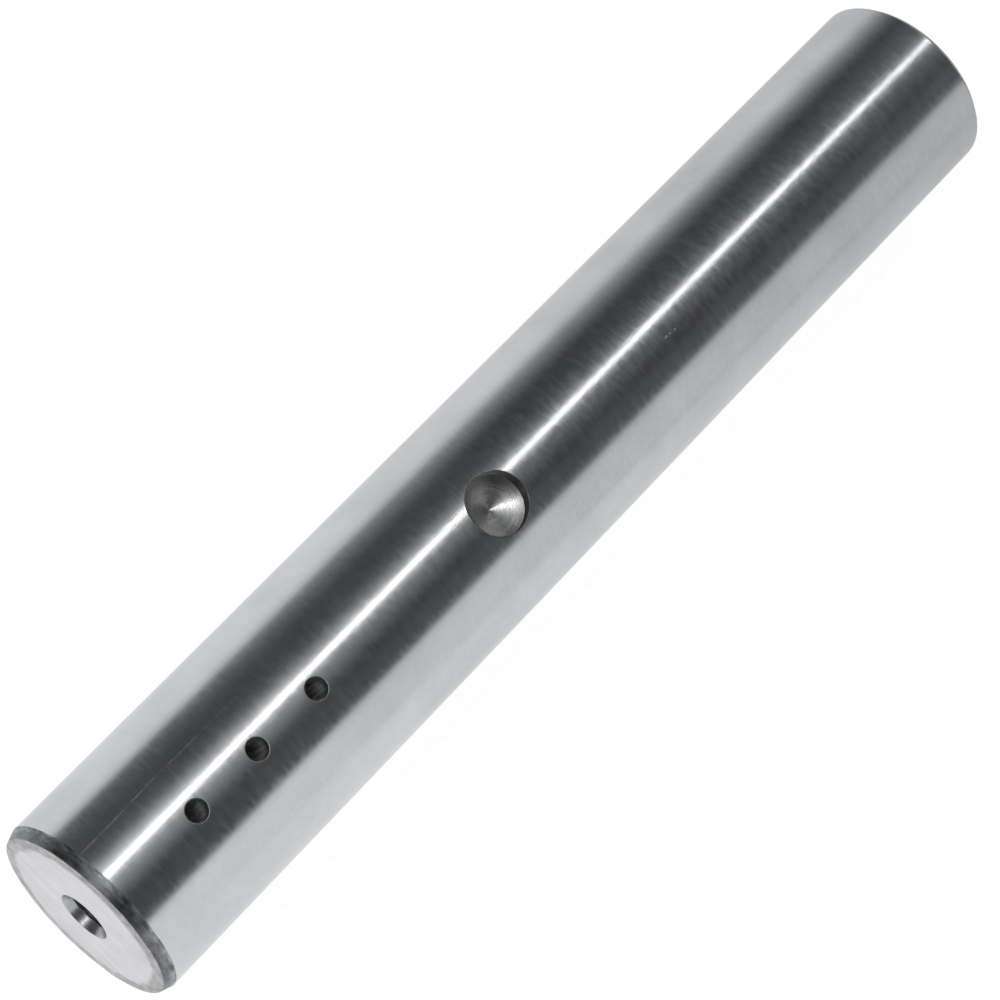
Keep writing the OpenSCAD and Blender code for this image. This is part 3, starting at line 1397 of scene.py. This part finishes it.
@dataclass
class Kingpin:
    """The whole pin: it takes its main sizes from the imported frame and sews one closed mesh."""

    lead_l: float = 1.8
    lead_h: float = 0.65
    ring_w: float = 1.5
    ring_drop: float = 0.1
    plain_bevel: float = 1.0
    mouth_r: float = 4.1
    hole_r: float = 1.65
    hole_count: int = 3
    hole_first: float = 17.0
    hole_pitch: float = 12.0
    hole_edge: float = 0.15
    seat_edge: float = 0.14
    crown_patch: float = 6.0
    past_bevel: float = 0.6
    face_middle: float = 1.0
    pin_r: float = field(init=False)
    pin_l: float = field(init=False)
    axis: Axis = field(init=False)
    port: GreasePort = field(init=False)
    seat: LockSeat = field(init=False)

    def __post_init__(self) -> None:
        """Reads the pin's main sizes from the frame."""
        low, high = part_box(NODE_NAME)
        self.pin_l = (high.x - low.x) / MM
        self.pin_r = mount("journal")["dims"]["r_mm"]
        self.axis = Axis(low.x / MM)
        port = mount("grease_port")
        middle = port["pos_m"][0] / MM - self.axis.port_x
        half = port["dims"]["length_mm"] / 2
        self.port = GreasePort(self.axis, port["dims"]["r_mm"], middle - half, middle + half)
        seat = mount("lock_seat")
        # the seat's wall and its rounded rim both take the dark seat_wall finish, which paints shade there
        self.seat = LockSeat(self.axis, self.pin_r, seat["pos_m"][0] / MM - self.axis.port_x,
                             seat["dims"]["r_mm"], self.seat_edge, Zone.SEAT_WALL, Zone.SEAT_WALL,
                             depth=seat["dims"]["length_mm"])

    def holes(self) -> list[GreaseHole]:
        """Gives the grease holes.

        Returns:
            The holes, from the port's end along the pin.
        """
        return [GreaseHole(self.axis, self.pin_r, self.hole_first + i * self.hole_pitch, self.hole_r,
                           self.hole_edge, Zone.BORE, Zone.EDGE)
                for i in range(self.hole_count)]

    def port_end(self) -> TurnedSection:
        """Draws the section of the port's end.

        Returns:
            The section, from the countersink's foot to the shank.
        """
        face_r = self.pin_r - self.lead_h
        return TurnedSection([
            Corner(self.port.bore_start, self.port.bore_r),
            Corner(0.0, self.mouth_r, 0.06, Zone.SINK, 0.25),
            Corner(0.0, face_r - self.ring_w, 4.0, Zone.PORT_FACE, 0.9),
            Corner(self.ring_drop, face_r, 0.14, Zone.PORT_FACE, 0.3, 0.05),
            Corner(self.ring_drop + self.lead_l, self.pin_r, 0.3, Zone.BEVEL, 0.4, 0.10),
            Corner(self.ring_drop + self.lead_l + self.past_bevel, self.pin_r, 0.0, Zone.SHANK, 0.6),
        ])

    def plain_end(self) -> TurnedSection:
        """Draws the section of the plain end.

        Returns:
            The section, from the shank to near the middle of the face.
        """
        return TurnedSection([
            Corner(self.pin_l - self.plain_bevel - self.past_bevel, self.pin_r),
            Corner(self.pin_l - self.plain_bevel, self.pin_r, 0.12, Zone.SHANK, 0.6),
            Corner(self.pin_l, self.pin_r - self.plain_bevel, 0.10, Zone.BEVEL, 0.4),
            Corner(self.pin_l, self.face_middle, 0.0, Zone.PLAIN_FACE, 1.1),
        ])

    def build(self) -> bpy.types.Object:
        """Sews the pin.

        Returns:
            The pin's object, which stands for the frame's own node.
        """
        skin = Skin()
        holes = self.holes()
        shank = DrilledWall(self.axis, self.pin_r, self.crown_patch, Zone.SHANK)
        turn = shank.angles()
        inner = [WallHole(hole.station, hole.radius) for hole in reversed(holes)]
        sink, gallery_rims = self.port.build(skin, inner, turn)
        front = self.port_end().points()
        start = self.axis.revolve(skin, front[1:], turn, sink)
        back = self.plain_end().points()
        outer = [WallHole(hole.station, hole.rim_r()) for hole in [*holes, self.seat]]
        rows = shank.rows(front[-1].s, back[0].s, [hole.station for hole in outer])
        _, end, rims = shank.build(skin, rows, outer, start)
        for hole, rim, gallery_rim in zip(holes, rims, reversed(gallery_rims)):
            hole.build(skin, rim, gallery_rim)
        self.seat.build(skin, rims[-1])
        last = self.axis.revolve(skin, back[1:], turn, end)
        middle = self.axis.place(self.pin_l, 0.0, 0.0)
        skin.cap(last, middle, Vector((1, 0, 0)), Zone.PLAIN_FACE, closing=True)
        piece = skin.make_object("kingpin_steel")
        LOG.info("sewed %s with %d faces", piece.name, len(skin.faces))
        return piece

    def finishes(self) -> dict[Zone, SteelFinish]:
        """Gives the finishes.

        Returns:
            The finish of each zone.
        """
        centre = ((self.axis.port_x + self.seat.station) * MM, 0.0, 0.0)
        return {
            Zone.SHANK: GroundFinish(
                "ground_shank", (0.52, 0.526, 0.538, 1), (0.66, 0.667, 0.682, 1), 0.231, 0.036,
                Lay.ROUND_THE_PIN, 0.2, 2.6, 0.0012, lay_detail=1.0, smudge=11.0, streaks=0.4,
                anisotropy=0.35, edge_tint=0.88, pin_r=self.pin_r),
            Zone.BEVEL: MottledFinish(
                "turned_bevel", (0.10, 0.102, 0.106, 1), (0.42, 0.426, 0.438, 1), 0.38, 0.10,
                Lay.ROUND_THE_PIN, 0.25, 2.5, 0.005, grain=0.6, smudge=3.0),
            Zone.PORT_FACE: EndFaceFinish(
                "faced_port_end", (0.28, 0.28, 0.287, 1), (0.76, 0.76, 0.778, 1), 0.36, 0.08,
                Lay.ACROSS_THE_FACE, 0.32, 6.0, 0.0015, grain=0.6, smudge=5.0),
            Zone.PLAIN_FACE: SteelFinish(
                "faced_plain_end", (0.46, 0.46, 0.47, 1), (0.72, 0.72, 0.737, 1), 0.36, 0.08,
                Lay.ACROSS_THE_FACE, 0.32, 6.0, 0.0015, grain=0.6, smudge=5.0, streaks=0.6),
            Zone.SINK: SteelFinish(
                "countersunk_mouth", (0.30, 0.30, 0.306, 1), (0.56, 0.56, 0.571, 1), 0.30, 0.05,
                Lay.ROUND_THE_PIN, 0.2, 2.0, 0.001, grain=0.4, smudge=1.6, coat=0.4, coat_polish=0.3),
            Zone.PORT: SteelFinish(
                "tapped_port", (0.26, 0.26, 0.27, 1), (0.48, 0.48, 0.49, 1), 0.34, 0.08,
                Lay.ROUND_THE_PIN, 0.2, 2.0, 0.004, grain=0.4, smudge=2.0),
            # painted light: the bore's pale colour shows deeper down, and its dark colour at the mouth
            Zone.BORE: BoreFinish(
                "drilled_bore", (0.10, 0.11, 0.10, 1), (0.88, 0.90, 0.88, 1), 0.34, 0.10,
                Lay.ROUND_THE_PIN, 0.3, 1.5, 0.004, grain=0.4, smudge=1.6, metal=0.1),
            # painted shade: the seat's floor darkens towards its rim, most on one side
            Zone.SEAT: SeatFinish(
                "drilled_seat", (0.08, 0.08, 0.08, 1), (0.72, 0.72, 0.72, 1), 0.29, 0.05,
                Lay.ROUND_THE_SEAT, 0.16, 3.0, 0.0010, grain=0.4, smudge=2.0, anisotropy=0.3,
                seat_centre=centre),
            # painted shade: the seat's wall and rounded rim get a dark steel that stands in for shade in the
            # recess
            Zone.SEAT_WALL: SteelFinish(
                "seat_wall", (0.13, 0.135, 0.13, 1), (0.30, 0.31, 0.30, 1), 0.36, 0.08,
                Lay.ROUND_THE_SEAT, 0.2, 2.0, 0.003, grain=0.4, smudge=2.0, seat_centre=centre),
            Zone.EDGE: SteelFinish(
                "broken_edge", (0.34, 0.342, 0.345, 1), (0.54, 0.543, 0.55, 1), 0.42, 0.08,
                Lay.ROUND_THE_PIN, 0.3, 1.5, 0.002, grain=0.4, smudge=2.0),
        }

    def dress(self, piece: bpy.types.Object) -> None:
        """Gives each zone of the pin its finish, and sets the pin in the frame.

        Args:
            piece: The pin's object.
        """
        finishes = self.finishes()
        for zone in Zone:
            piece.data.materials.append(finishes[zone].material())
        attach(piece, BODY_NAME)
        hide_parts(NODE_NAME)
        LOG.info("dressed %s with %d finishes", piece.name, len(finishes))


@dataclass(frozen=True)
class StripLamp:
    """A long soft lamp above the pin that rises towards the plain end, hidden from the camera."""

    angle: float = 16.2
    distance: float = 953.0
    along: float = 647.0
    rise: float = 28.0
    length: float = 2400.0
    width: float = 15.0
    glow: float = 16.5

    def build(self) -> bpy.types.Object:
        """Makes the lamp.

        Returns:
            The lamp's object.
        """
        light = bpy.data.lights.new("strip_lamp", "AREA")
        light.shape = "RECTANGLE"
        light.size = self.length * MM
        light.size_y = self.width * MM
        light.energy = self.glow * math.pi * light.size * light.size_y
        lamp = link("strip_lamp", light)
        lean, rise = math.radians(self.angle), math.radians(self.rise)
        outward = Vector((0.0, math.sin(lean), math.cos(lean)))
        forward = Vector((1.0, 0.0, 0.0))
        long_way = forward * math.cos(rise) + outward * math.sin(rise)
        back = outward * math.cos(rise) - forward * math.sin(rise)
        turn = Matrix((long_way, back.cross(long_way), back)).transposed()
        lamp.location = (outward * self.distance + forward * self.along) * MM
        lamp.rotation_euler = turn.to_euler()
        lamp.visible_camera = False
        LOG.info("hung the strip lamp")
        return lamp


@dataclass(frozen=True)
class SkyBand:
    """A pale band of the surroundings that runs along the pin, at an angle from overhead.

    Its glow goes from near to far between two directions, told by how far they point along the pin.
    """

    middle: float
    half: float
    soft: float
    near_glow: float
    far_glow: float
    fade_from: float = 0.24
    fade_to: float = 0.58


@dataclass(frozen=True)
class Studio:
    """A plain pale floor, surroundings that are dark overhead and pale at the sides, and a strip lamp."""

    floor_half: float = 4000.0
    floor_tone: float = 0.86
    floor_glow: float = 0.90
    shadow_tone: float = 0.27
    fade_from: float = -60.0
    fade_to: float = 120.0
    right_fade: float = 0.58
    left_fade: float = 0.30
    far_left_fade: float = 0.38
    middle_half: float = 60.0
    slant: float = 0.4
    left_from: float = 35.0
    left_to: float = 260.0
    dark_glow: float = 0.045
    sky_tint: Colour = (0.975, 0.99, 1.0, 1.0)
    lamp: StripLamp = StripLamp()

    def bands(self) -> list[SkyBand]:
        """Gives the pale bands.

        Returns:
            A panel at the right, faint glows overhead, a halo by the lamp and a low glow at the left.
        """
        return [
            SkyBand(-74.0, 26.0, 4.0, 0.98, 0.56),
            SkyBand(-36.0, 13.0, 10.0, 0.015, 0.066),
            SkyBand(0.0, 30.0, 40.0, 0.03, 0.0),
            SkyBand(5.0, 10.0, 22.0, 0.24, 0.0, 0.35, 0.41),
            SkyBand(16.0, 20.0, 28.0, 0.06, 0.0, 0.33, 0.46),
            SkyBand(19.0, 30.0, 50.0, 0.0, 0.18, 0.55, 0.58),
            SkyBand(24.0, 6.0, 12.0, 0.52, 0.0, 0.24, 0.44),
            SkyBand(50.0, 22.0, 18.0, 0.04, 0.01, 0.33, 0.46),
            SkyBand(100.0, 20.0, 40.0, 0.12, 0.50, 0.28, 0.46),
        ]

    def build(self) -> None:
        """Makes the floor, the surroundings and the lamp."""
        self._floor()
        self._sky()
        self.lamp.build()

    def _floor(self) -> None:
        """Lays the floor under the pin and gives it a pale finish that keeps the pin's shadow."""
        half = self.floor_half * MM
        level = CAD_BOX[0][2]
        mesh = bpy.data.meshes.new("floor")
        corners = [(-half, -half, level), (half, -half, level), (half, half, level), (-half, half, level)]
        mesh.from_pydata(corners, [], [(0, 1, 2, 3)])
        floor = link("floor", mesh)
        made = bpy.data.materials.new("pale_floor")
        made.use_nodes = True
        sheet = NodeSheet(made.node_tree)
        path = sheet.node("LightPath").outputs
        mirrored = sheet.calc("MAXIMUM", path["Is Glossy Ray"], path["Is Transmission Ray"])
        seen = sheet.calc("MAXIMUM", path["Is Camera Ray"], sheet.product(mirrored, self._fade(sheet)))
        paper = sheet.node("BsdfDiffuse", {"Color": grey(self.floor_tone)}).outputs[0]
        shadow = sheet.node("BsdfDiffuse", {"Color": grey(self.shadow_tone)}).outputs[0]
        glow = sheet.node("Emission", {"Color": grey(1.0), "Strength": self.floor_glow}).outputs[0]
        white = sheet.node("AddShader", {0: shadow, 1: glow}).outputs[0]
        mixed = sheet.node("MixShader", {0: seen, 1: paper, 2: white}).outputs[0]
        sheet.node("OutputMaterial", {"Surface": mixed})
        mesh.materials.append(made)
        LOG.info("laid the floor at %.4f m", level)

    def _fade(self, sheet: NodeSheet) -> Amount:
        """Works out how the floor falls off in reflections towards the plain end.

        Args:
            sheet: The floor's node tree.

        Returns:
            1 at the port's end, less past the plain end, most of all at the right, and less far to the left.
        """
        x, y, _ = sheet.parts(sheet.node("NewGeometry").outputs["Position"])
        half = self.middle_half * MM
        amount = sheet.rescale(y, -half, half, self.right_fade, self.left_fade)
        aside = sheet.product(sheet.calc("ABSOLUTE", y), self.slant)
        ahead = sheet.minus(x, aside)
        along = sheet.rescale(ahead, self.fade_from * MM, self.fade_to * MM, 0.0, 1.0)
        left = sheet.rescale(y, self.left_from * MM, self.left_to * MM, 1.0, 1.0 - self.far_left_fade)
        return sheet.product(left, sheet.minus(1.0, sheet.product(along, amount)))

    def _sky(self) -> None:
        """Makes the surroundings: the pin sees them dark with pale bands, and the camera sees them white."""
        world = bpy.data.worlds.new("studio_sky")
        bpy.context.scene.world = world
        world.use_nodes = True
        sheet = NodeSheet(world.node_tree)
        x, y, z = sheet.parts(sheet.node("TexCoord").outputs["Generated"])
        angle = sheet.product(sheet.calc("ARCTAN2", y, z), 180 / math.pi)
        total = self.dark_glow
        for band in self.bands():
            off = sheet.calc("ABSOLUTE", sheet.minus(angle, band.middle))
            near, far = band.half - band.soft / 2, band.half + band.soft / 2
            share = sheet.rescale(off, near, far, 1.0, 0.0, True)
            glow = sheet.rescale(x, band.fade_from, band.fade_to, band.near_glow, band.far_glow)
            total = sheet.sum(sheet.product(share, glow), total)
        path = sheet.node("LightPath").outputs
        direct = sheet.calc("MAXIMUM", path["Is Camera Ray"], path["Is Transmission Ray"])
        strength = sheet.calc("MAXIMUM", direct, total)
        back = sheet.node("Background", {"Color": self.sky_tint, "Strength": strength}).outputs[0]
        sheet.node("OutputWorld", {"Surface": back})


@dataclass(frozen=True)
class PhotoCamera:
    """The photograph's camera, solved from the pin's end circle, its sides and its holes."""

    eye: Triple = (-213.31, 24.79, 457.70)
    aim: Triple = (-6.23, -0.73, 0.0)
    roll: float = 52.11
    focal_px: float = 3481.7
    frame_px: float = 1000.0
    sensor: float = 36.0
    nearest: float = 10.0

    def build(self) -> bpy.types.Object:
        """Makes the camera and gives it to the scene.

        Returns:
            The camera's object.
        """
        data = bpy.data.cameras.new("photo_camera")
        data.sensor_width = self.sensor
        data.lens = self.focal_px * self.sensor / self.frame_px
        data.clip_start = self.nearest * MM
        camera = link("photo_camera", data)
        eye = Vector(self.eye) * MM
        look = Vector(self.aim) * MM - eye
        level = look.to_track_quat("-Z", "Y")
        turned = level @ Quaternion((0, 0, 1), math.radians(self.roll))
        camera.location = eye
        camera.rotation_euler = turned.to_euler()
        bpy.context.scene.camera = camera
        LOG.info("set the camera at %s mm", self.eye)
        return camera


def main() -> None:
    """Builds the camera, the pin and the studio in order."""
    logging.basicConfig(level=logging.INFO, format="%(name)s: %(message)s")
    bpy.context.scene.view_settings.view_transform = "Standard"
    PhotoCamera().build()
    pin = Kingpin()
    pin.dress(pin.build())
    Studio().build()


if __name__ == "__main__":
    main()
